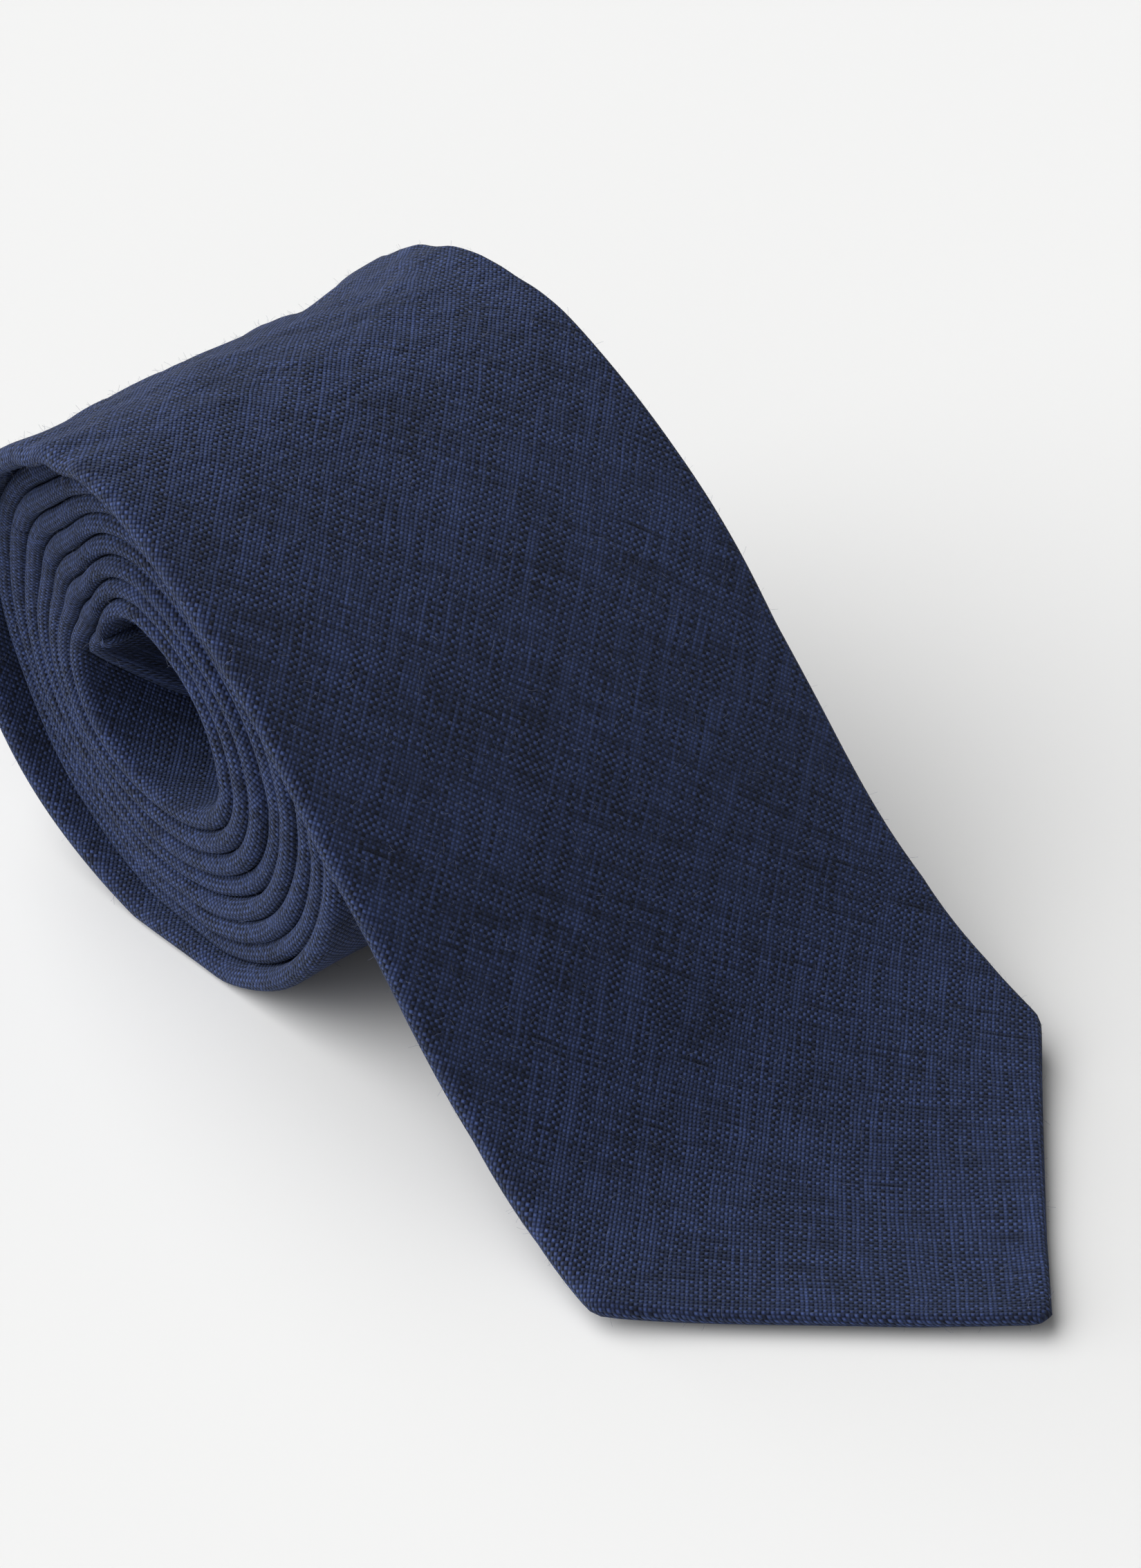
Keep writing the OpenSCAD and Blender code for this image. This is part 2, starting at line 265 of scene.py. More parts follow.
# %% [markdown]
# ## From flat tie to rolled tie
# Every layer is first thought of flat: a length along the tie, a place across it and a height
# above its middle. One function then carries those three numbers onto the path, so the shell,
# the canvas, the stitches and the fibres all follow the same bends. Cloth is never as even as a
# curve, so four small helpers first say how it ripples, how the roll is drawn in towards its
# upper left, how the blade's edges lift off the table, and how the tie wanders sideways.

# %% Ripples, the roll's draw, the blade's lift and the wander
RIPPLE, FINE_RIPPLE = 0.22, 0.07
PUCKER = 0.45            # height of the puckers where the cloth turns over the roll's top
DRAWN_IN = 3.8           # how far the roll's upper left is drawn in, halfway across
NEAR_MORE, FAR_LESS = 1.7, 2.5           # and what the near and the far edge add and take away
TIP_LIFT, FAR_LIFT, NEAR_LIFT = 1.1, 1.8, 0.9
SHIFT = 20               # keeps the places that are looked up in the noise above 0


def ripples(s, y, angle, turn):
    """Unevenness of the cloth, outwards: broad on the roll, fine everywhere, puckered on top."""
    on_roll = ease((s - fold_s + 40) / 60)
    broad = RIPPLE * smooth_noise(5, (angle % 360) / 24 + SHIFT, y / 13 + SHIFT) * on_roll
    fine = FINE_RIPPLE * smooth_noise(6, s / 9 + SHIFT, y / 9 + SHIFT)
    on_top = ease((angle - 66) / 20) * ease((170 - angle) / 40) * (turn == 0)
    pucker = PUCKER * on_top * smooth_noise(9, angle / 6 + y / 25 + SHIFT, y / 6 + SHIFT)
    return broad + fine + pucker


def drawn_in(place_y, angle):
    """How far the cloth on the roll's upper left sits inside the even oval."""
    depth = DRAWN_IN + NEAR_MORE * ease((4 - place_y) / 26) - FAR_LESS * ease((place_y - 22) / 15)
    return depth * ease((angle % 360 - 72) / 50) * ease((235 - angle % 360) / 75)


def lift_off(s, y):
    """How far the blade stands off the table: at its tip, its far edge and its near edge."""
    tip = TIP_LIFT * ease((14 - s) / 14)
    far = FAR_LIFT * ease((y + 8) / 46) * ease((80 - s) / 50)
    near = NEAR_LIFT * ease((4 - y) / 20) * ease((50 - s) / 30)
    return tip + far + near


def wander(s):
    """Slow sideways wander of the tie, with a broad part and a fine one."""
    fine = 0.4 * smooth_noise(7, s / 17 + SHIFT, s * 0 + 0.5)
    broad = 0.4 * smooth_noise(8, s / 55 + 9, s * 0 + 0.5)
    return fine + broad


print("lift of the blade's tip, far and near edges:", TIP_LIFT, FAR_LIFT, NEAR_LIFT, "mm")

# %% [markdown]
# The outermost turn hangs loose low on the left and bulges there. Under the roll, the outer turns
# are pressed flat by its weight. The tie is thinner near the tip of its blade.

# %% Carry a point of the flat tie onto the path
TIP_THINNER = 0.35       # share of the thickness that is gone near the tip
BULGE, BULGE_FACES, BULGE_WIDE = 2.0, 212, 24    # its height, the direction it faces and its spread
PRESS_FACE = 1.5         # half of the tie's thickness where the roll presses on the table
SQUASH_TURNS, SQUASH = 4, 0.919          # turns that the table presses, and how close they get
LEAST_Z = 0.02           # nothing reaches below this


def carry(s, y, m):
    """Millimetres along, across and out from the tie's middle, to a place in metres."""
    point = [np.interp(s, path_s, path_point[:, i]) for i in (0, 1)]
    face = [np.interp(s, path_s, path_face[:, i]) for i in (0, 1)]
    angle = np.interp(s, path_s, path_angle)
    turn = np.floor((angle - TAKE_OFF) / 360)
    m = m * (1 - TIP_THINNER * ease((46 - s) / 22))
    bulge = BULGE * np.exp(-((angle - BULGE_FACES) / BULGE_WIDE)**2)
    draw = np.where(turn >= 0, drawn_in(y + middle_y(s), angle), 0)
    out = m + ripples(s, y, angle, turn) + bulge - draw
    x, z = point[0] + out * face[0], point[1] + out * face[1]
    pressed = (TURN_PITCH * turn + PRESS_FACE - m) * SQUASH
    on_table = (turn >= 0) & (turn < SQUASH_TURNS)
    z = np.where(on_table, np.maximum(z, pressed), np.maximum(z, LEAST_Z))
    z = z + np.where(turn < 0, lift_off(s, y), 0)
    across = middle_y(s) + y + wander(s) * ease((s - 20) / 60)
    return np.stack([x, across, z], axis=-1) * MM


print("the table presses the outer", SQUASH_TURNS, "turns")

# %% [markdown]
# ## The fold of the shell
# The shell is one cloth folded round the lining: a flap, a soft folded edge, the front, the
# other folded edge, and the second flap, which laps over the first along the back. Across the
# tie it is a curve, and the length along that curve is the place on the flat cloth. Keeping
# that as the UV map lets the weave run round the folds without a break.

# %% The shell's curve across the tie
CLOTH_T = 0.5            # thickness of the cloth
FACE_MID, FACE_EDGE = 1.3, 1.5           # half of the tie's thickness in its middle and by its edges
EDGE_PUFF = 5.0          # the edges are full over about this width
NOSE_R = 1.6             # rounds the very end of either point
FOLD_STEPS = 9
LAP_UNDER, LAP_OVER = 3.0, 1.6           # how far each flap passes the middle of the back
LAP_STEP = 0.55          # the lower flap sinks by this, to lie under the upper one
CURL, CURL_STEPS = 0.28, 0.6             # the flaps' own cut edges curl in


def shell_curve(s, front_steps, flap_steps):
    """Across and out from the middle for each place round the shell, one row for each length."""
    s = s[:, None]
    h = half_width(s)
    gap, closed = flap_gap(s)
    ends = np.minimum(s, tie_l - s) - POINT_S
    blunt = np.sqrt(1 - (1 - np.clip(ends / NOSE_R, 0, 1))**2)
    edge_r = np.minimum(FACE_EDGE, 0.85 * h)
    flat = h - edge_r

    def face_at(y):
        puff = np.exp(-((h - np.abs(y)) / EDGE_PUFF)**2)
        return (FACE_MID + (FACE_EDGE - FACE_MID) * puff) * blunt

    flap_way = np.sin(np.linspace(0, np.pi / 2, flap_steps))[None]
    flap_way = 0.5 * flap_way + 0.5 * np.linspace(0, 1, flap_steps)[None]
    front_way = np.linspace(-1, 1, front_steps)[None]
    front_way = 0.75 * front_way + 0.25 * np.sin(front_way * np.pi / 2)
    turn = np.linspace(-np.pi / 2, np.pi / 2, FOLD_STEPS + 2)[None, 1:-1]

    right_in = np.minimum(gap - closed * (gap + LAP_UNDER), flat)
    left_in = np.maximum(-gap + closed * (gap + LAP_OVER), -flat)
    right_y = right_in + (flat - right_in) * flap_way
    left_y = left_in - (left_in + flat) * flap_way
    under = LAP_STEP * closed * ease((4.5 - right_y) / 4.0)
    right_m = -face_at(right_y) + under
    curl = CURL * np.exp(-np.arange(flap_steps) / CURL_STEPS)[None] * blunt
    front_y = -front_way * flat
    fold_m = FACE_EDGE * blunt * np.sin(turn)
    fold_y = flat + edge_r * np.cos(turn)
    y = np.concatenate([right_y, fold_y, front_y, -fold_y[:, ::-1], left_y[:, ::-1]], axis=1)
    m = np.concatenate([right_m + curl, fold_m, face_at(front_y) + 0 * front_y, fold_m[:, ::-1],
                        (-face_at(left_y) + curl)[:, ::-1]], axis=1)
    step = np.hypot(np.diff(y, axis=1), np.diff(m, axis=1))
    w = np.concatenate([0 * s, np.cumsum(step, axis=1)], axis=1)
    middle = flap_steps + FOLD_STEPS + front_steps // 2
    return y, m, w - w[:, middle:middle + 1]


cut_w = shell_curve(np.array([SHOULDER_S, 400.0]), 56, 26)[2]
print("cloth round the tie at its shoulders and at 400 mm:", (cut_w[:, -1] - cut_w[:, 0]).round(1), "mm")

# %% [markdown]
# A cloth is a grid of places, and its UV map keeps the flat cloth's own lengths, so that the
# yarns keep one size everywhere. A modifier gives each cloth its thickness, and what it shows
# becomes a plain mesh, which is what is handed on.

# %% Turn a grid of places into a mesh
UV_SIZE = 1700.0         # millimetres of cloth to one unit of the UV map
UV_SHIFT = 120.0
SHARP_FROM = math.radians(60)            # a rim that turns more than this keeps a crisp corner


def grid_mesh(name, places, flat_along, flat_across, thickness=0.0):
    """A cloth from a grid of places in metres. Its UV map holds the flat cloth's own lengths."""
    rows, columns = places.shape[:2]
    index = np.arange(rows * columns).reshape(rows, columns)
    corners = index[:-1, :-1], index[1:, :-1], index[1:, 1:], index[:-1, 1:]
    quads = np.stack(corners, axis=-1).reshape(-1, 4)
    mesh = bpy.data.meshes.new(name)
    mesh.from_pydata(places.reshape(-1, 3).tolist(), [], quads.tolist())
    uv = np.stack([flat_along + UV_SHIFT, flat_across + UV_SHIFT], axis=-1).reshape(-1, 2) / UV_SIZE
    layer = mesh.uv_layers.new(name="cloth")
    layer.data.foreach_set("uv", uv[quads.ravel()].astype(np.float32).ravel())
    mesh.shade_smooth()
    piece = bpy.data.objects.new(name, mesh)
    bpy.context.scene.collection.objects.link(piece)
    if thickness:
        wall = piece.modifiers.new("cloth thickness", "SOLIDIFY")
        wall.thickness, wall.offset = thickness * MM, -1.0
        settle(piece)
    return piece


def settle(piece):
    """Makes what the modifiers show the piece's own plain mesh."""
    bpy.context.view_layer.update()
    shown = piece.evaluated_get(bpy.context.evaluated_depsgraph_get())
    final = bpy.data.meshes.new_from_object(shown)
    final.set_sharp_from_angle(angle=SHARP_FROM)
    piece.modifiers.clear()
    piece.data = final
    return piece


print("one unit of the UV map is", UV_SIZE, "mm of cloth")

# %% [markdown]
# ## The four lengths of shell
# The front blade bends at the take-off when it is lifted, so the front piece of the shell is
# made as two meshes that share their last and first row: one for the free blade and the top of
# the roll, and one for the rest of the roll. The neck and the tail are pieces of cloth of their own.

# %% Cut the shell into its lengths
SPLIT_ANGLE, NECK_ANGLE, TAIL_ANGLE = 140.0, 870.0, 1590.0
SEAM_HALF = 0.1          # half of the gap between two pieces that are sewn together
split_s, neck_s, tail_s = (length_at(a) for a in (SPLIT_ANGLE, NECK_ANGLE, TAIL_ANGLE))
nose_s = NOSE_R * (1 - np.cos(np.linspace(0, np.pi / 2, 7))) + POINT_S


def rows_between(start, end, spacing, nose_at=None):
    """Lengths at which the cloth gets a row of points, closer together round a blunt point."""
    if nose_at == "start":
        rest = np.linspace(nose_s[-1], end, int((end - nose_s[-1]) / spacing) + 1)[1:]
        return np.concatenate([nose_s, rest])
    if nose_at == "end":
        last = tie_l - nose_s[::-1]
        rest = np.linspace(start, last[0], int((last[0] - start) / spacing) + 1)[:-1]
        return np.concatenate([rest, last])
    return np.linspace(start, end, int((end - start) / spacing) + 1)


def shell_piece(name, rows, front_steps, flap_steps):
    """One length of the shell, with the size and the area that it was cut to, in metres."""
    y, m, w = shell_curve(rows, front_steps, flap_steps)
    s = np.repeat(rows[:, None], y.shape[1], axis=1)
    piece = grid_mesh(name, carry(s, y, m), s, w, CLOTH_T)
    area = np.trapz(w[:, -1] - w[:, 0], rows) * MM**2
    flat = (float((w[:, -1] - w[:, 0]).max()) * MM, float(rows[-1] - rows[0]) * MM)
    print(f"{name}: {len(piece.data.polygons)} faces, cut {flat[0]:.3f} x {flat[1]:.3f} m")
    return piece, flat, float(area)


shell_cuts = {
    "shell_front_blade": (rows_between(0, split_s, 1.3, "start"), 56, 26),
    "shell_front_roll": (rows_between(split_s, neck_s - SEAM_HALF, 1.7), 56, 26),
    "shell_neck": (rows_between(neck_s + SEAM_HALF, tail_s - SEAM_HALF, 1.7), 30, 14),
    "shell_tail": (rows_between(tail_s + SEAM_HALF, tie_l, 1.5, "end"), 34, 16),
}
shell = {name: shell_piece(name, *cut) for name, cut in shell_cuts.items()}

# %% [markdown]
# ## What lies inside
# A woollen or cotton canvas gives the tie its body; it stops short of the folded edges. Behind
# each point, a thin lining covers the canvas between the two flaps. These are flat strips at
# their own height in the tie, so one function makes them all.

# %% Interlining and tipping
LINING_TOP, LINING_T = 0.7, 1.0          # upper face from the tie's middle, and thickness
TIPPING_TOP, TIPPING_T = -0.4, 0.3
INNER_END, EDGE_IN = 3.0, 1.6            # how far they stop short of the tips and of the edges
TIPPING_PAST = 12        # how far the tipping runs on under the bar tack
JOIN_ANGLE, JOIN_HALF = 1200, 0.3        # where the interlining is joined, and half of the gap


def strip_piece(name, start, end, top, thickness, steps=20):
    """A flat strip inside the tie, with the size and the area that it was cut to, in metres."""
    rows = rows_between(start, end, 2.4)
    half = np.maximum(0.4, half_width(rows) - EDGE_IN)[:, None]
    y = -np.linspace(-1, 1, steps)[None] * half
    s = np.repeat(rows[:, None], steps, axis=1)
    piece = grid_mesh(name, carry(s, y, top + 0 * y), s, -y, thickness)
    area = float(np.trapz(2 * half[:, 0], rows)) * MM**2
    return piece, (float(2 * half.max()) * MM, float(rows[-1] - rows[0]) * MM), area


join_s = length_at(JOIN_ANGLE)
tail_end = tie_l - INNER_END
strips = {
    "interlining_blade": (INNER_END, split_s, LINING_TOP, LINING_T),
    "interlining_roll": (split_s, join_s - JOIN_HALF, LINING_TOP, LINING_T),
    "interlining_tail": (join_s + JOIN_HALF, tail_end, LINING_TOP, LINING_T),
    "tipping_front": (INNER_END, TACK_S["front"] + TIPPING_PAST, TIPPING_TOP, TIPPING_T),
    "tipping_tail": (tie_l - TACK_S["tail"] - TIPPING_PAST, tail_end, TIPPING_TOP, TIPPING_T),
}
inside = {name: strip_piece(name, *strip) for name, strip in strips.items()}
print("inside:", ", ".join(inside))

# %% [markdown]
# ## The keeper loop
# A short band of the shell's own cloth is sewn across the back, to hold the tail when the tie is
# worn. Here it lies between the first two turns.

# %% Keeper loop
KEEPER_ANGLE, KEEPER_W, KEEPER_L = 217.5, 10.0, 46.0
KEEPER_TOP, KEEPER_T = -1.4, 0.3
KEEPER_STEPS = 40
keeper_s = length_at(KEEPER_ANGLE)
rows = np.linspace(keeper_s - KEEPER_W / 2, keeper_s + KEEPER_W / 2, 9)
y = -np.linspace(-KEEPER_L / 2, KEEPER_L / 2, KEEPER_STEPS)[None] + 0 * rows[:, None]
s = np.repeat(rows[:, None], KEEPER_STEPS, axis=1)
keeper = grid_mesh("keeper_band", carry(s, y, KEEPER_TOP + 0 * y), s, -y, KEEPER_T)
print("keeper loop at", round(keeper_s), "mm from the tip")

# %% [markdown]
# ## Threads
# Every stitch is one short thread: it rises a little from the cloth in its middle and dives in
# at its ends. The places of the stitches are drawn as loose edges, and Geometry Nodes turn each
# edge into such a thread. One tree serves slip stitches, bar tacks and seams alike.

# %% A node tree that makes threads from edges
def add_socket(tree, name, kind, direction, value=None):
    made = tree.interface.new_socket(name=name, in_out=direction, socket_type=kind)
    if value is not None:
        made.default_value = value
    return made


def link(tree, *pairs):
    for start, end in pairs:
        tree.links.new(start, end)


def thread_tree():
    """Each loose edge becomes a thin round thread that bows out along its own lift."""
    tree = bpy.data.node_groups.new("threads from edges", "GeometryNodeTree")
    add_socket(tree, "Geometry", "NodeSocketGeometry", "INPUT")
    add_socket(tree, "Thread Radius", "NodeSocketFloat", "INPUT", 0.00012)
    add_socket(tree, "Rise", "NodeSocketFloat", "INPUT", 0.0002)
    add_socket(tree, "Thread", "NodeSocketMaterial", "INPUT")
    add_socket(tree, "Geometry", "NodeSocketGeometry", "OUTPUT")
    new = tree.nodes.new
    given, result = new("NodeGroupInput"), new("NodeGroupOutput")
    curve, resample = new("GeometryNodeMeshToCurve"), new("GeometryNodeResampleCurve")
    resample.inputs["Count"].default_value = 7
    along, lift = new("GeometryNodeSplineParameter"), new("GeometryNodeInputNamedAttribute")
    lift.data_type = "FLOAT_VECTOR"
    lift.inputs["Name"].default_value = "lift"
    half_turn, arc, height = (new("ShaderNodeMath") for _ in range(3))
    half_turn.operation, arc.operation, height.operation = "MULTIPLY", "SINE", "MULTIPLY"
    half_turn.inputs[1].default_value = math.pi
    offset = new("ShaderNodeVectorMath")
    offset.operation = "SCALE"
    place, ring = new("GeometryNodeSetPosition"), new("GeometryNodeCurvePrimitiveCircle")
    ring.inputs["Resolution"].default_value = 5
    skin = new("GeometryNodeCurveToMesh")
    skin.inputs["Fill Caps"].default_value = True
    real, paint = new("GeometryNodeRealizeInstances"), new("GeometryNodeSetMaterial")
    link(tree, (given.outputs["Geometry"], curve.inputs["Mesh"]),
         (curve.outputs[0], resample.inputs["Curve"]),
         (along.outputs["Factor"], half_turn.inputs[0]), (half_turn.outputs[0], arc.inputs[0]),
         (arc.outputs[0], height.inputs[0]), (given.outputs["Rise"], height.inputs[1]),
         (lift.outputs["Attribute"], offset.inputs[0]), (height.outputs[0], offset.inputs["Scale"]),
         (resample.outputs[0], place.inputs["Geometry"]), (offset.outputs[0], place.inputs["Offset"]),
         (given.outputs["Thread Radius"], ring.inputs["Radius"]),
         (place.outputs[0], skin.inputs["Curve"]), (ring.outputs[0], skin.inputs["Profile Curve"]),
         (skin.outputs[0], real.inputs[0]), (real.outputs[0], paint.inputs["Geometry"]),
         (given.outputs["Thread"], paint.inputs["Material"]), (paint.outputs[0], result.inputs[0]))
    return tree


def run_tree(piece, tree, **values):
    """Adds the tree as a modifier, sets its named inputs, and keeps the result as a plain mesh."""
    grown = piece.modifiers.new(tree.name, "NODES")
    grown.node_group = tree
    ids = {item.name: item.identifier for item in tree.interface.items_tree if item.in_out == "INPUT"}
    for name, value in values.items():
        grown[ids[name.replace("_", " ").title()]] = value
    return settle(piece)


threads = thread_tree()
print("thread tree has", len(threads.nodes), "nodes")

# %% [markdown]
# ## Where the stitches go
# The back seam of a tie is closed by hand with long slip stitches that show only as small
# threads every 12 mm. A bar tack of close threads ends the seam at both ends. The pieces of the
# shell are joined by a fine seam whose threads bridge the two edges.

# %% Draw the stitches as loose edges
STITCH_PITCH, STITCH_L = 12.0, 2.6
BACK = -1.42             # height of the tie's back, where a thread lies
BAR_HALF, BAR_STITCH = 4.0, 0.9          # half of a bar tack's length, and of one of its threads


def stitch_edges(name, pairs):
    """Loose edges from pairs of (along, across, out); each remembers which way is out."""
    ends = np.array(pairs, float).reshape(-1, 3)
    places = carry(ends[:, 0], ends[:, 1], ends[:, 2])
    outer = carry(ends[:, 0], ends[:, 1], ends[:, 2] + np.sign(ends[:, 2] + 1e-6))
    lift = outer - places
    lift /= np.maximum(np.linalg.norm(lift, axis=1), 1e-9)[:, None]
    mesh = bpy.data.meshes.new(name)
    count = len(ends) // 2
    mesh.from_pydata(places.tolist(), [(2 * i, 2 * i + 1) for i in range(count)], [])
    outward = mesh.attributes.new("lift", "FLOAT_VECTOR", "POINT")
    outward.data.foreach_set("vector", lift.astype(np.float32).ravel())
    piece = bpy.data.objects.new(name, mesh)
    bpy.context.scene.collection.objects.link(piece)
    return piece


def slip_stitches(start, end):
    """Single stitches that step from the upper flap down to the lower one."""
    return [[(s, 0.9, BACK - 0.05), (s + STITCH_L, 2.3, BACK + 0.45)]
            for s in np.arange(start, end, STITCH_PITCH)]


def bar_tack(at, threads_in_bar=11):
    """Close threads side by side across the end of the seam."""
    across = np.linspace(-BAR_HALF, BAR_HALF, threads_in_bar)
    return [[(at - BAR_STITCH, y, BACK), (at + BAR_STITCH, y + 0.25, BACK)] for y in across]


def seam_threads(at, spacing=2.4):
    """Threads that bridge two pieces of the shell, on its flats and not on its folded edges."""
    y, m, w = shell_curve(np.array([at]), 56, 26)
    places = np.arange(w[0, 0] + 2, w[0, -1] - 2, spacing)
    across, out = np.interp(places, w[0], y[0]), np.interp(places, w[0], m[0])
    flat = np.abs(across) < half_width(np.array([at]))[0] - 3
    return [[(at - 0.7, a, b), (at + 0.7, a, b)] for a, b in zip(across[flat], out[flat])]


keeper_ends = [[(s, side * (KEEPER_L / 2 - 0.8), -1.66), (s, side * (KEEPER_L / 2 + 0.9), -1.5)]
               for side in (-1, 1) for s in np.linspace(keeper_s - 4.2, keeper_s + 4.2, 12)]
lining_join = [[(join_s - 0.8, y, 0.7), (join_s + 0.8, y + 1.2, 0.7)] for y in np.linspace(-12, 12, 9)]
stitching = {
    "slip_stitches_blade": slip_stitches(TACK_S["front"] + STITCH_PITCH / 2, fold_s - 8),
    "slip_stitches_roll": slip_stitches(fold_s + 8, tie_l - TACK_S["tail"] - STITCH_PITCH),
    "bar_tack_front": bar_tack(TACK_S["front"]),
    "bar_tack_tail": bar_tack(tie_l - TACK_S["tail"]),
    "seam_front_neck": seam_threads(neck_s),
    "seam_neck_tail": seam_threads(tail_s),
    "keeper_bar_tacks": keeper_ends,
    "interlining_seam": lining_join,
}
print({name: len(pairs) for name, pairs in stitching.items()})

# %% [markdown]
# ## Loose fibres
# Linen is never smooth: short ends of flax stand up all over it. They are too fine to see on the
# face of the cloth, but they soften every outline. Geometry Nodes scatter bent fibres over the
# outer side of the shell, each leaning its own way.

# %% A node tree that scatters fibres
FIBRE_INPUTS = (
    ("Geometry", "NodeSocketGeometry", None), ("Density", "NodeSocketFloat", 2e5),
    ("Shortest", "NodeSocketFloat", 0.0003), ("Longest", "NodeSocketFloat", 0.0010),
    ("Slimness", "NodeSocketFloat", 0.014), ("Seed", "NodeSocketInt", 3),
    ("Fibre", "NodeSocketMaterial", None),
)
FIBRE_LEAN = (1.25, 1.25, 3.1)           # how far a fibre may turn each way, in radians


def fibre_tree():
    """Bent fibres on the faces of a mesh, each with its own lean and length."""
    tree = bpy.data.node_groups.new("loose fibres", "GeometryNodeTree")
    for name, kind, value in FIBRE_INPUTS:
        add_socket(tree, name, kind, "INPUT", value)
    add_socket(tree, "Geometry", "NodeSocketGeometry", "OUTPUT")
    new = tree.nodes.new
    given, result = new("NodeGroupInput"), new("NodeGroupOutput")
    scatter, instance = new("GeometryNodeDistributePointsOnFaces"), new("GeometryNodeInstanceOnPoints")
    line, resample = new("GeometryNodeCurvePrimitiveLine"), new("GeometryNodeResampleCurve")
    line.inputs["End"].default_value = (0, 0, 1)
    resample.inputs["Count"].default_value = 4
    along, bent = new("GeometryNodeSplineParameter"), new("ShaderNodeMath")
    bend = new("ShaderNodeCombineXYZ")
    bent.operation = "POWER"
    bent.inputs[1].default_value = 2.0
    shape, ring = new("GeometryNodeSetPosition"), new("GeometryNodeCurvePrimitiveCircle")
    skin = new("GeometryNodeCurveToMesh")
    ring.inputs["Resolution"].default_value = 3
    skin.inputs["Fill Caps"].default_value = True
    lean, size = new("FunctionNodeRandomValue"), new("FunctionNodeRandomValue")
    turn = new("FunctionNodeRotateRotation")
    lean.data_type, size.data_type = "FLOAT_VECTOR", "FLOAT"
    lean.inputs["Min"].default_value = [-most for most in FIBRE_LEAN]
    lean.inputs["Max"].default_value = FIBRE_LEAN
    turn.rotation_space = "LOCAL"
    real, paint = new("GeometryNodeRealizeInstances"), new("GeometryNodeSetMaterial")
    sizes = [s for s in size.inputs if s.type == "VALUE" and s.name in ("Min", "Max")]
    size_out = next(s for s in size.outputs if s.type == "VALUE")
    link(tree, (given.outputs["Geometry"], scatter.inputs["Mesh"]),
         (given.outputs["Density"], scatter.inputs["Density"]),
         (given.outputs["Seed"], scatter.inputs["Seed"]),
         (scatter.outputs["Points"], instance.inputs["Points"]),
         (line.outputs[0], resample.inputs["Curve"]), (resample.outputs[0], shape.inputs["Geometry"]),
         (along.outputs["Factor"], bent.inputs[0]), (bent.outputs[0], bend.inputs["X"]),
         (bend.outputs[0], shape.inputs["Offset"]), (given.outputs["Slimness"], ring.inputs["Radius"]),
         (shape.outputs[0], skin.inputs["Curve"]), (ring.outputs[0], skin.inputs["Profile Curve"]),
         (skin.outputs[0], instance.inputs["Instance"]), (scatter.outputs["Rotation"], turn.inputs[0]),
         (lean.outputs[0], turn.inputs[1]), (turn.outputs[0], instance.inputs["Rotation"]),
         (given.outputs["Seed"], lean.inputs["Seed"]), (given.outputs["Seed"], size.inputs["Seed"]),
         (given.outputs["Shortest"], sizes[0]), (given.outputs["Longest"], sizes[1]),
         (size_out, instance.inputs["Scale"]), (instance.outputs[0], real.inputs[0]),
         (real.outputs[0], paint.inputs["Geometry"]), (given.outputs["Fibre"], paint.inputs["Material"]),
         (paint.outputs[0], result.inputs[0]))
    return tree


fibres = fibre_tree()
print("fibre tree has", len(fibres.nodes), "nodes")

# %% [markdown]
# ## The weave
# Plain weave is the simplest of all: each yarn goes over one and under the next. The group below
# turns the flat cloth's coordinates by 45 degrees, because a tie is cut on the bias, counts the
# yarns both ways, and gives the height of whichever yarn is on top and how light it is. Linen
# yarns are uneven, so each yarn's own noise makes it thicker and lighter in places (slubs). A warp
# yarn on top also gets a painted highlight, and a weft yarn on top a little painted shade.

# %% Small helpers for shader nodes
def feed(tree, sockets, values):
    """Links or sets each socket in turn; None leaves a socket as it is."""
    for socket, value in zip(sockets, values):
        if isinstance(value, bpy.types.NodeSocket):
            tree.links.new(value, socket)
        elif value is not None:
            socket.default_value = value


def calc(tree, operation, first, second=None, third=None, clamp=False):
    node = tree.nodes.new("ShaderNodeMath")
    node.operation, node.use_clamp = operation, clamp
    feed(tree, node.inputs, (first, second, third))
    return node.outputs[0]


def vector(tree, operation, first, second):
    node = tree.nodes.new("ShaderNodeVectorMath")
    node.operation = operation
    feed(tree, node.inputs, (first, second))
    return node.outputs[0]


def scaled(tree, first, amount):
    """A vector or a colour times one number."""
    node = tree.nodes.new("ShaderNodeVectorMath")
    node.operation = "SCALE"
    feed(tree, (node.inputs[0], node.inputs["Scale"]), (first, amount))
    return node.outputs[0]


def joined(tree, *parts):
    node = tree.nodes.new("ShaderNodeCombineXYZ")
    feed(tree, node.inputs, parts)
    return node.outputs[0]


def mapped(tree, where, turn=0.0, scale=(1, 1, 1)):
    """The same places, turned about Z and scaled."""
    node = tree.nodes.new("ShaderNodeMapping")
    node.inputs["Rotation"].default_value = (0, 0, turn)
    node.inputs["Scale"].default_value = scale
    tree.links.new(where, node.inputs["Vector"])
    return node.outputs[0]


def split(tree, where):
    node = tree.nodes.new("ShaderNodeSeparateXYZ")
    tree.links.new(where, node.inputs[0])
    return node.outputs


def noise(tree, where, scale, detail=1.0, rough=0.5):
    node = tree.nodes.new("ShaderNodeTexNoise")
    tree.links.new(where, node.inputs["Vector"])
    node.inputs["Scale"].default_value = scale
    node.inputs["Detail"].default_value = detail
    node.inputs["Roughness"].default_value = rough
    return node


def shader_group(name, inputs, outputs):
    tree = bpy.data.node_groups.new(name, "ShaderNodeTree")
    for label, kind in inputs:
        add_socket(tree, label, kind, "INPUT")
    for label, kind in outputs:
        add_socket(tree, label, kind, "OUTPUT")
    return tree, tree.nodes.new("NodeGroupInput").outputs, tree.nodes.new("NodeGroupOutput").inputs


print("helpers:", ", ".join(f.__name__ for f in (feed, calc, vector, scaled, joined, mapped, split, noise)))

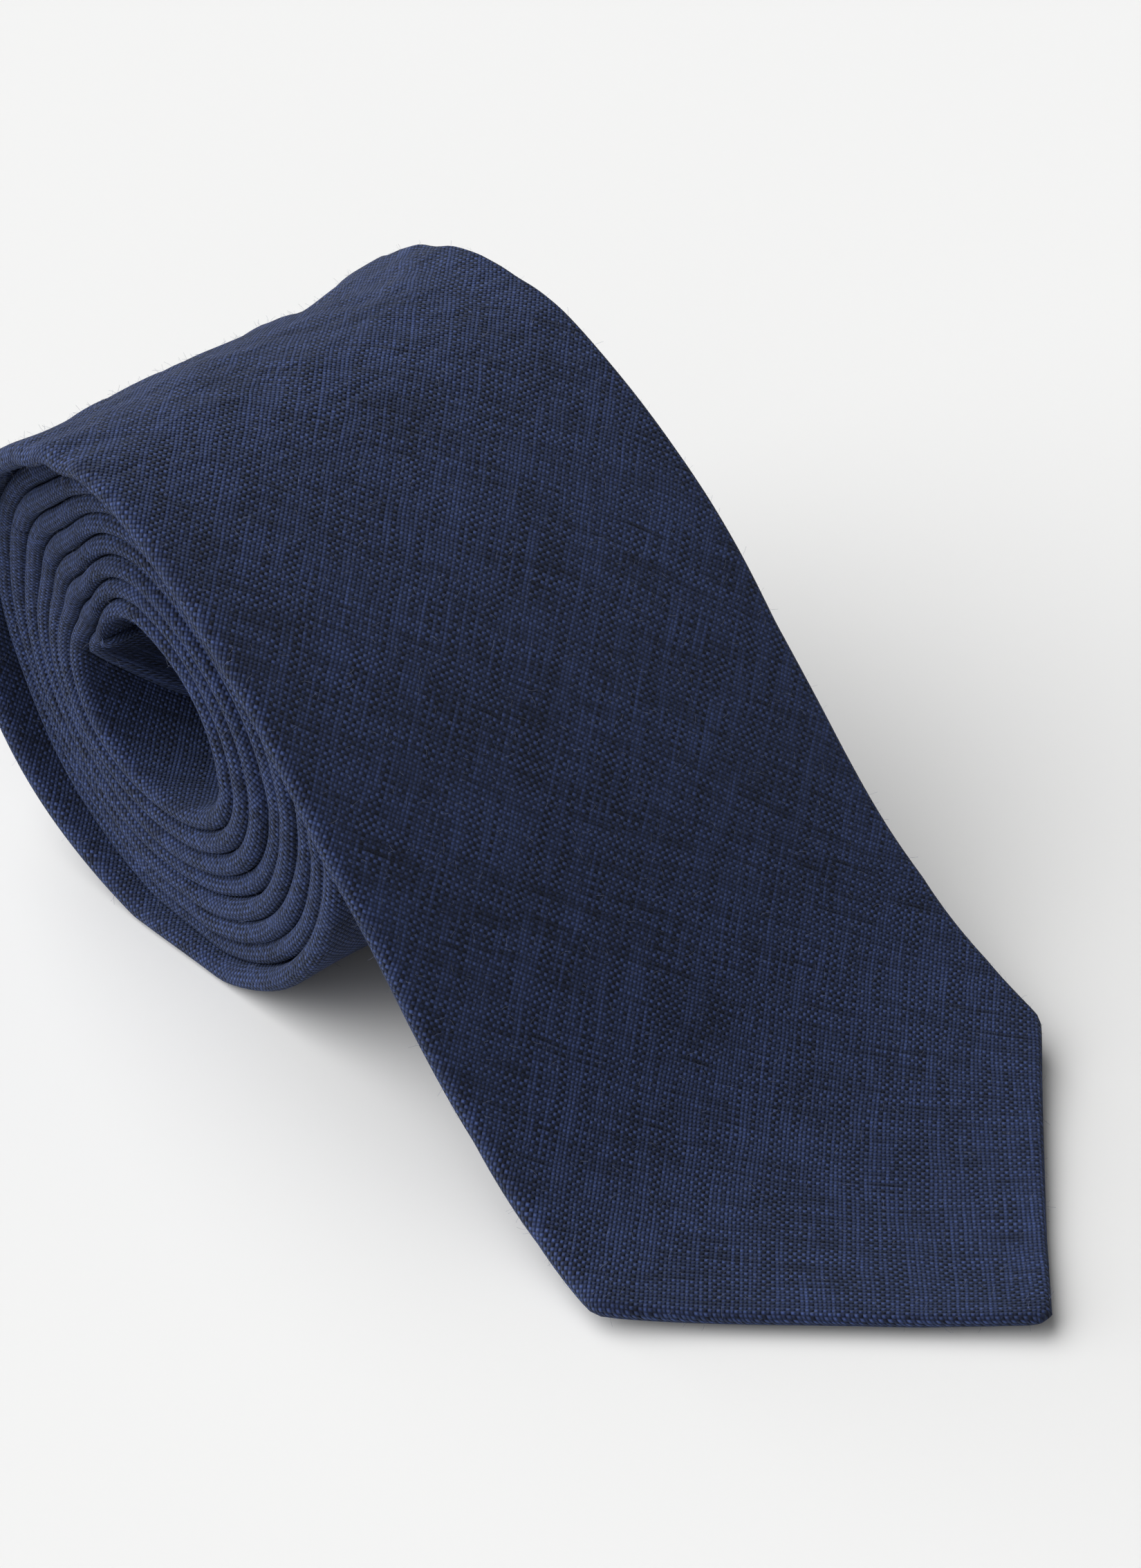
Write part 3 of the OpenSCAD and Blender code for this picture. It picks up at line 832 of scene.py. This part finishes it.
# %% [markdown]
# The yarns wander a little, so their places are moved by slow noise first. Then each of the two
# sets of yarns gets a height from its own round shape and from the yarn that it crosses.

# %% The weave group
BIAS = math.radians(45)
SLUB_STEP, SLUB_LONG = 7.31, 0.045       # noise from yarn to yarn, and slow noise along one
YARN_ROUND = 0.65        # share of a yarn's height that its round shape gives


def weave_group():
    tree, given, result = shader_group(
        "bias plain weave",
        [("Cloth", "NodeSocketVector"), ("Yarn Spacing", "NodeSocketFloat"), ("Wander", "NodeSocketFloat")],
        [("Height", "NodeSocketFloat"), ("Yarn Tone And Highlight", "NodeSocketFloat")])
    drift = noise(tree, given["Cloth"], 0.11, 2.0).outputs["Color"]
    drift = vector(tree, "SUBTRACT", drift, (0.5, 0.5, 0.5))
    moved = vector(tree, "ADD", given["Cloth"], scaled(tree, drift, given["Wander"]))
    along_yarns = split(tree, mapped(tree, moved, turn=BIAS))
    p = calc(tree, "DIVIDE", along_yarns["X"], given["Yarn Spacing"])
    q = calc(tree, "DIVIDE", along_yarns["Y"], given["Yarn Spacing"])
    warp, weft = calc(tree, "FLOOR", p), calc(tree, "FLOOR", q)
    over_warp = calc(tree, "SINE", calc(tree, "MULTIPLY", calc(tree, "FRACT", p), math.pi))
    over_weft = calc(tree, "SINE", calc(tree, "MULTIPLY", calc(tree, "FRACT", q), math.pi))
    side = calc(tree, "FLOORED_MODULO", calc(tree, "ADD", warp, weft), 2.0)
    side = calc(tree, "MULTIPLY_ADD", side, -2.0, 1.0)
    each_warp = calc(tree, "MULTIPLY", warp, SLUB_STEP), calc(tree, "MULTIPLY", q, SLUB_LONG), 1.0
    each_weft = calc(tree, "MULTIPLY", p, SLUB_LONG), calc(tree, "MULTIPLY", weft, SLUB_STEP), 9.0
    slub_warp = noise(tree, joined(tree, *each_warp), 1.0, 2.0, 0.6).outputs["Fac"]
    slub_weft = noise(tree, joined(tree, *each_weft), 1.0, 2.0, 0.6).outputs["Fac"]

    def yarn(round_it, along_it, sign, slub):
        rise = calc(tree, "MULTIPLY_ADD", calc(tree, "MULTIPLY", side, along_it), 0.5 * sign, 0.5)
        body = calc(tree, "MULTIPLY_ADD", round_it, YARN_ROUND, 1 - YARN_ROUND)
        thick = calc(tree, "MULTIPLY_ADD", slub, 0.6, 0.7)
        return calc(tree, "MULTIPLY", calc(tree, "MULTIPLY", rise, body), thick)

    warp_height = yarn(over_warp, over_weft, 1, slub_warp)
    weft_height = yarn(over_weft, over_warp, -1, slub_weft)
    on_top = calc(tree, "GREATER_THAN", warp_height, weft_height)
    slub = tree.nodes.new("ShaderNodeMix")
    feed(tree, (slub.inputs[0], slub.inputs[2], slub.inputs[3]), (on_top, slub_weft, slub_warp))
    # Painted highlight: a warp yarn on top is made lighter and a weft yarn darker, as if the warp caught the
    # light.
    warp_painted_highlight = calc(tree, "MULTIPLY_ADD", on_top, 0.2, -0.1)
    tree.links.new(calc(tree, "MAXIMUM", warp_height, weft_height), result["Height"])
    tree.links.new(calc(tree, "ADD", slub.outputs[0], warp_painted_highlight), result["Yarn Tone And Highlight"])
    return tree


weave = weave_group()
print("weave group has", len(weave.nodes), "nodes")

# %% [markdown]
# ## The finishes
# Linen is matt, with a soft bloom where it is seen at a low angle, which sheen gives. Its colour
# is a deep navy, lighter on thick yarns, and slowly mottled because the dye takes unevenly; shade
# is painted into the gaps between the yarns and light onto their crowns. The lining is smoother
# and finer, the canvas is coarse and cream, and the sewing thread is a little brighter than the cloth.

# %% Small helpers for finishes
def new_finish(name, **values):
    """A plain finish. Each named value sets the shader's input of the same name."""
    material = bpy.data.materials.new(name)
    material.use_nodes = True
    shader = material.node_tree.nodes["Principled BSDF"]
    for label, value in values.items():
        shader.inputs[label.replace("_", " ")].default_value = value
    return material, material.node_tree, shader


def colour_between(tree, share, dark, light):
    node = tree.nodes.new("ShaderNodeMix")
    node.data_type = "RGBA"
    feed(tree, (node.inputs[0], node.inputs[6], node.inputs[7]), (share, (*dark, 1), (*light, 1)))
    return node.outputs[2]


print("helpers:", new_finish.__name__, "and", colour_between.__name__)

# %% [markdown]
# The linen also gets the small puckers that a bias cloth shows where it turns over the top of the
# roll. They are ridges in the bump, strongest at one length along the tie and gone at both sides
# of it, and they run across the cloth at a slant.

# %% Woven materials
PUCKER_S, PUCKER_REACH = 172.0, 55.0     # length where the ridges are strongest, and their reach
PUCKER_WIDE, PUCKER_LONG, PUCKER_TURN = 2.2, 6.5, 0.5
WANDER = 1.4             # how far the yarns wander, in yarns
TONE_GAIN, TONE_LESS = 2.6, 0.8          # spreads the yarns' tones over the range of colour
GRAIN = 0.5              # speckle along the yarns


def pucker_ridges(tree, flat, height, depth):
    """Adds slanting ridges, in yarns' heights, round the length where the cloth turns."""
    slanted = mapped(tree, flat, turn=PUCKER_TURN, scale=(1 / PUCKER_WIDE, 1 / PUCKER_LONG, 1))
    ridge = noise(tree, slanted, 1.0, 2.0).outputs["Fac"]
    off = calc(tree, "ABSOLUTE", calc(tree, "SUBTRACT", split(tree, flat)["X"], PUCKER_S + UV_SHIFT))
    near = calc(tree, "MULTIPLY_ADD", off, -1 / PUCKER_REACH, 1.0, clamp=True)
    ridges = calc(tree, "MULTIPLY", calc(tree, "MULTIPLY", ridge, near), depth)
    return calc(tree, "ADD", height, ridges)


def woven(name, dark, light, spacing, bump_mm, mottle=0.25, rough=0.85, sheen=0.3, tint=(1, 1, 1),
          gap=0.25, puckered=0.0):
    """A woven finish: dark and light are the ends of its yarns' range of colour. Gap is the share
    of the colour left at the bottom of a gap between yarns, where shade is painted.
    """
    material, tree, shader = new_finish(
        name, Roughness=rough, Specular_IOR_Level=0.25,
        Sheen_Weight=sheen, Sheen_Roughness=0.45, Sheen_Tint=(*tint, 1))
    place = tree.nodes.new("ShaderNodeUVMap")
    place.uv_map = "cloth"
    flat = mapped(tree, place.outputs[0], scale=(UV_SIZE, UV_SIZE, 1))
    cloth = tree.nodes.new("ShaderNodeGroup")
    cloth.node_tree = weave
    feed(tree, cloth.inputs, (flat, spacing, spacing * WANDER))
    cloud = noise(tree, flat, 0.07, 4.0, 0.6).outputs["Fac"]
    grain = noise(tree, flat, 1.3 / spacing, 1.0).outputs["Fac"]
    # The yarn tone holds the slubs and also the warp yarns' painted highlight.
    tone_and_highlight = calc(tree, "MULTIPLY_ADD", cloth.outputs["Yarn Tone And Highlight"], TONE_GAIN, -TONE_LESS)
    tone_and_highlight = calc(tree, "ADD", tone_and_highlight, calc(tree, "MULTIPLY_ADD", cloud, mottle * 4, -mottle * 2))
    tone_and_highlight = calc(tree, "ADD", tone_and_highlight, calc(tree, "MULTIPLY_ADD", grain, GRAIN, -GRAIN / 2), clamp=True)
    # Painted shade and light: the colour is scaled by the yarns' height, darker in the gaps between yarns
    # and lighter on their crowns.
    depth = calc(tree, "MULTIPLY_ADD", cloth.outputs["Height"], 2.0 * (1 - gap), gap)
    shaded = scaled(tree, colour_between(tree, tone_and_highlight, dark, light), depth)
    tree.links.new(shaded, shader.inputs["Base Color"])
    height = cloth.outputs["Height"]
    if puckered:
        height = pucker_ridges(tree, flat, height, puckered)
    bump = tree.nodes.new("ShaderNodeBump")
    bump.inputs["Distance"].default_value = bump_mm * MM
    tree.links.new(height, bump.inputs["Height"])
    tree.links.new(bump.outputs[0], shader.inputs["Normal"])
    return material


def thread_finish(name, colour, lighter):
    """A smooth yarn's finish, spotted with a lighter colour."""
    material, tree, shader = new_finish(name, Roughness=0.6, Sheen_Weight=0.3)
    place = tree.nodes.new("ShaderNodeTexCoord")
    spots = noise(tree, place.outputs["Object"], 900.0, 1.0).outputs["Fac"]
    tree.links.new(colour_between(tree, spots, colour, lighter), shader.inputs["Base Color"])
    return material


navy_linen = woven("navy linen", (0.0013, 0.0027, 0.0108), (0.0236, 0.038, 0.108), 0.54, 0.4,
                   mottle=0.12, sheen=0.1, tint=(0.45, 0.62, 1.0), gap=0.0, puckered=5.0)
navy_lining = woven("navy lining", (0.012, 0.016, 0.036), (0.022, 0.028, 0.06), 0.22, 0.04,
                    mottle=0.05, rough=0.62, sheen=0.06, tint=(0.45, 0.62, 1.0))
cream_canvas = woven("cream canvas", (0.42, 0.38, 0.3), (0.75, 0.71, 0.6), 0.9, 0.3, sheen=0.2)
navy_thread = thread_finish("navy thread", (0.02, 0.028, 0.065), (0.05, 0.065, 0.14))
flax_fibre = thread_finish("flax fibre", (0.05, 0.065, 0.13), (0.16, 0.19, 0.3))
print("finishes:", [m.name for m in (navy_linen, navy_lining, cream_canvas, navy_thread, flax_fibre)])

# %% [markdown]
# ## Give every piece its cloth
# The shell and the keeper are navy linen, the points are lined, and the canvas lies inside.

# %% Finish and sew the pieces
for piece, _, _ in shell.values():
    piece.data.materials.clear()
    piece.data.materials.append(navy_linen)
keeper.data.materials.append(navy_linen)
for name, (piece, _, _) in inside.items():
    piece.data.materials.append(navy_lining if name.startswith("tipping") else cream_canvas)
sewn = {}
for name, pairs in stitching.items():
    sewn[name] = run_tree(stitch_edges(name, pairs), threads, Thread_Radius=0.00013, Rise=0.00018,
                          Thread=navy_thread)
print("threads:", {name: len(piece.data.polygons) for name, piece in sewn.items()})

# %% [markdown]
# The fibres are scattered over a bare copy of the shell's outer side, which leaves out the cut
# edges of the flaps. The outermost cloth gets the most, because there they are seen.

# %% Grow the fibres on the shell's outer side
FIBRE_ROWS = 3.0         # from one row of points to the next
FLAP_LEFT_OUT = 6        # places at each end of the shell's curve that get no fibres
FIBRE_LEAST_Z = 0.05


def outer_side(name, rows, front_steps, flap_steps):
    y, m, w = shell_curve(rows, front_steps, flap_steps)
    s = np.repeat(rows[:, None], y.shape[1], axis=1)
    kept = slice(FLAP_LEFT_OUT, -FLAP_LEFT_OUT)
    return grid_mesh(name, carry(s, y, m)[:, kept], s[:, kept], w[:, kept])


def above_table(piece):
    """Lets no fibre reach below the table that the tie lies on."""
    places = np.zeros(len(piece.data.vertices) * 3, np.float32)
    piece.data.vertices.foreach_get("co", places)
    places[2::3] = np.maximum(places[2::3], FIBRE_LEAST_Z * MM)
    piece.data.vertices.foreach_set("co", places)


fuzz_cuts = {
    "fibres_blade": (rows_between(0, split_s, FIBRE_ROWS, "start"), 28, 12, 2.2e5, 3),
    "fibres_roll": (rows_between(split_s, neck_s, FIBRE_ROWS), 28, 12, 1.1e5, 5),
    "fibres_inner": (rows_between(neck_s, tie_l, FIBRE_ROWS, "end"), 16, 8, 1.0e5, 7),
}
fuzz = {}
for name, (rows, front_steps, flap_steps, density, seed) in fuzz_cuts.items():
    fuzz[name] = run_tree(outer_side(name, rows, front_steps, flap_steps),
                          fibres, Density=density, Seed=seed, Fibre=flax_fibre)
for piece in fuzz.values():
    above_table(piece)
print("fibres:", {name: len(piece.data.polygons) for name, piece in fuzz.items()})

# %% [markdown]
# ## Hand the pieces to the frame
# Each piece stands for plain solids of the mechanics. The front cloth, its canvas and its fibres
# cross the fold line, so they ride on neither body: their places are baked into their meshes as
# they are. The blade's tipping and stitches ride on the blade's body, and every other piece on
# the roll's.

# %% Bodies, and the pieces that cross the fold
crossing = [shell["shell_front_blade"][0], inside["interlining_blade"][0], fuzz["fibres_blade"]]
for piece in crossing:
    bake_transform(piece)
on_blade = [inside["tipping_front"][0], sewn["slip_stitches_blade"], sewn["bar_tack_front"]]
for piece in on_blade:
    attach(piece, "blade")
everything = [p for p, _, _ in shell.values()] + [p for p, _, _ in inside.values()] + [keeper]
everything += [*sewn.values(), *fuzz.values()]
on_roll = [piece for piece in everything if piece not in crossing and piece not in on_blade]
for piece in on_roll:
    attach(piece, "roll")
print(len(crossing), "pieces bend,", len(on_blade), "ride on the blade,", len(on_roll), "on the roll")

# %% [markdown]
# The plain solids have names of their own, and those that a piece stands for are hidden. The
# fibres stand for none of them.

# %% What each piece stands for
stands_for = {
    "shell_front_blade": ("front_shell_blade", "shell_cloth"),
    "shell_front_roll": ("front_shell_roll", "shell_cloth"),
    "shell_neck": ("neck_shell", "shell_cloth"), "shell_tail": ("tail_shell", "shell_cloth"),
    "keeper_band": ("keeper_loop", "shell_cloth"),
    "interlining_blade": ("front_interlining_blade", "interlining"),
    "interlining_roll": ("front_interlining_roll", "interlining"),
    "interlining_tail": ("tail_interlining", "interlining"),
    "tipping_front": ("front_tipping", "tipping"), "tipping_tail": ("tail_tipping", "tipping"),
    "slip_stitches_blade": ("slip_stitch_blade", "thread"),
    "slip_stitches_roll": ("slip_stitch_roll", "thread"),
    "bar_tack_front": ("front_bar_tack", "thread"), "bar_tack_tail": ("tail_bar_tack", "thread"),
    "seam_front_neck": ("front_neck_seam", "thread"), "seam_neck_tail": ("neck_tail_seam", "thread"),
    "keeper_bar_tacks": ("keeper_tacks", "thread"), "interlining_seam": ("interlining_join", "thread"),
}
for piece in everything:
    node, slot = stands_for.get(piece.name, (None, "shell_cloth"))
    if node:
        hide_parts(node)
print("replaced", len(stands_for), "of", len(frame["nodes"]), "nodes")

# %% [markdown]
# ## The studio
# A pale floor that runs out of sight and two broad, far lights: a strong one from the camera's
# left, like a big window, and a weak one from beside the camera that opens the shadows. The sky
# adds a faint light from all round. It looks pale to the camera only, so that a low view shows no
# dark band above the floor.

# %% Floor and sky
FLOOR_HALF = 6.0
SKY, SKY_SEEN = 0.08, 0.82               # light that the sky gives, and what the camera sees beyond it
floor_mesh = bpy.data.meshes.new("floor")
corners = [(x * FLOOR_HALF, y * FLOOR_HALF, 0) for x, y in ((-1, -1), (1, -1), (1, 1), (-1, 1))]
floor_mesh.from_pydata(corners, [], [(0, 1, 2, 3)])
floor = bpy.data.objects.new("floor", floor_mesh)
bpy.context.scene.collection.objects.link(floor)
paper, _, _ = new_finish("white paper", Base_Color=(0.792, 0.792, 0.788, 1), Roughness=0.9,
                         Specular_IOR_Level=0.1)
floor_mesh.materials.append(paper)

world = bpy.data.worlds.new("studio")
bpy.context.scene.world = world
world.use_nodes = True
sky = world.node_tree.nodes["Background"]
sky.inputs["Color"].default_value = (1, 1, 1, 1)
ray = world.node_tree.nodes.new("ShaderNodeLightPath")
sky_level = calc(world.node_tree, "MULTIPLY_ADD", ray.outputs["Is Camera Ray"], SKY_SEEN, SKY)
world.node_tree.links.new(sky_level, sky.inputs["Strength"])
print("floor is", 2 * FLOOR_HALF, "m across; the sky gives", SKY)

# %% [markdown]
# A light as broad as a window's sky throws soft shadows, and one that is far away lights the
# whole of the tie alike.

# %% Lights
def soft_light(name, azimuth, height, spread, strength):
    """A broad far light, as even as a window's sky. Azimuth is from +X towards +Y, in degrees."""
    a, e = math.radians(azimuth), math.radians(height)
    way = Vector((math.cos(a) * math.cos(e), math.sin(a) * math.cos(e), math.sin(e)))
    data = bpy.data.lights.new(name, "SUN")
    data.energy, data.angle = strength, math.radians(spread)
    lamp = bpy.data.objects.new(name, data)
    lamp.rotation_euler = (-way).to_track_quat("-Z", "Y").to_euler()
    bpy.context.scene.collection.objects.link(lamp)
    return lamp


lamps = [soft_light("window", azimuth=218, height=37, spread=95, strength=4.8),
         soft_light("fill", azimuth=300, height=35, spread=60, strength=0.78)]
print("lights:", {lamp.name: lamp.data.energy for lamp in lamps})

# %% [markdown]
# The camera stands out past the tip, to its near side, and looks down at about 34 degrees. A long
# lens keeps the near and the far parts in proportion. Its place is counted from the tip.

# %% Camera
CAMERA_EL, CAMERA_AZ, CAMERA_ROLL = (math.radians(v) for v in (33.839, 45.396, 1.062))
CAMERA_FAR, AIM_RIGHT, AIM_UP = 478.0, -55.9, 63.4
SENSOR, LENS = 36.0, 95.2381             # millimetres
back = Vector((math.sin(CAMERA_AZ) * math.cos(CAMERA_EL), -math.cos(CAMERA_AZ) * math.cos(CAMERA_EL),
               math.sin(CAMERA_EL)))
level = Vector((math.cos(CAMERA_AZ), math.sin(CAMERA_AZ), 0))
upright = back.cross(level)
right = math.cos(CAMERA_ROLL) * level + math.sin(CAMERA_ROLL) * upright
up = math.cos(CAMERA_ROLL) * upright - math.sin(CAMERA_ROLL) * level
view_data = bpy.data.cameras.new("camera")
view_data.sensor_width, view_data.lens = SENSOR, LENS
camera = bpy.data.objects.new("camera", view_data)
bpy.context.scene.collection.objects.link(camera)
place = Vector((tip_x, 0, 0)) + CAMERA_FAR * back + AIM_RIGHT * right + AIM_UP * up
turned = Matrix((right, up, back)).transposed()
camera.matrix_world = Matrix.Translation(place * MM) @ turned.to_4x4()
view_data.clip_start, view_data.clip_end = 0.01, 20
bpy.context.scene.camera = camera
bpy.context.scene.view_settings.view_transform = "Standard"
print("camera at", [round(v, 3) for v in camera.location], "lens", round(view_data.lens, 1))
